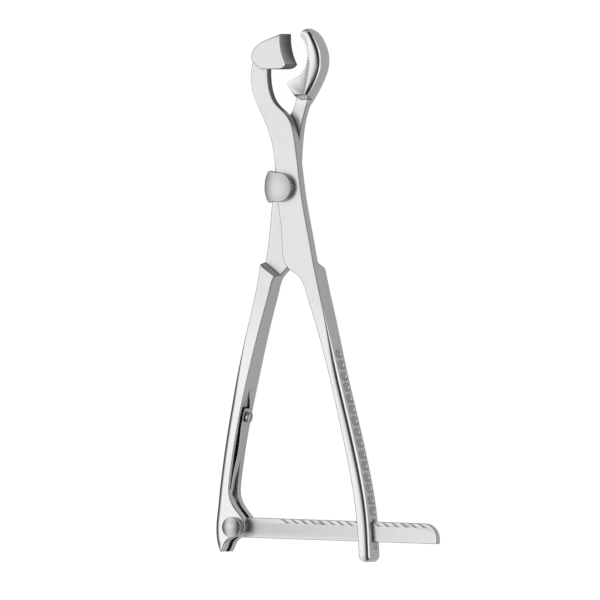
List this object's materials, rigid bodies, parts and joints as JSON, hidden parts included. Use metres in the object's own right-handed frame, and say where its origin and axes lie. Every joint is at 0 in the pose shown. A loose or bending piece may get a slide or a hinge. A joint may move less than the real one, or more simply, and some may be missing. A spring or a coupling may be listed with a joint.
{
  "type": "bone holding forceps",
  "caption": "Surgical bone holding forceps with a smooth block jaw, a toothed hook jaw, a lap lock and a toothed ratchet bar between the handles",
  "frame": {"origin": "on the axis of the lock, at the flat rear face of the lock", "axes": "+X from the ratchet pin towards the free end of the bar, +Y from the handles to the jaws, +Z out of the front of the lock"},
  "size_m": [0.1263, 0.2702, 0.0173],
  "materials": {
    "satin_steel": "satin stainless steel, polished on the handles",
    "polished_steel": "polished stainless steel",
    "spring_steel": "bright spring steel"
  },
  "bodies": {
    "hook_side": {"hook_leg": "satin_steel", "pivot_post": "satin_steel", "leaf_spring": "spring_steel", "spring_screw": "polished_steel"},
    "block_side": {"block_leg": "satin_steel"},
    "bar_pin": {"ratchet_pin": "polished_steel"},
    "bar": {"ratchet_bar": "satin_steel"}
  },
  "joints": [
    {"name": "jaw_pivot", "type": "hinge", "parent": "hook_side", "child": "block_side", "pos_m": [0, 0, 0.0053], "axis": [0, 0, 1], "range_deg": [-7, 9]},
    {"name": "bar_swing", "type": "hinge", "parent": "hook_side", "child": "bar_pin", "pos_m": [-0.0277, -0.1729, 0.0053], "axis": [0, 0, 1], "range_deg": [-4.7, 6.1]},
    {"name": "bar_release", "type": "hinge", "parent": "bar_pin", "child": "bar", "pos_m": [-0.0277, -0.1729, 0.0053], "axis": [0, 0, 1], "range_deg": [-1.7, 0]}
  ],
  "couplings": [
    {"joint": "bar_swing", "follows": "jaw_pivot", "ratio": 0.664}
  ]
}
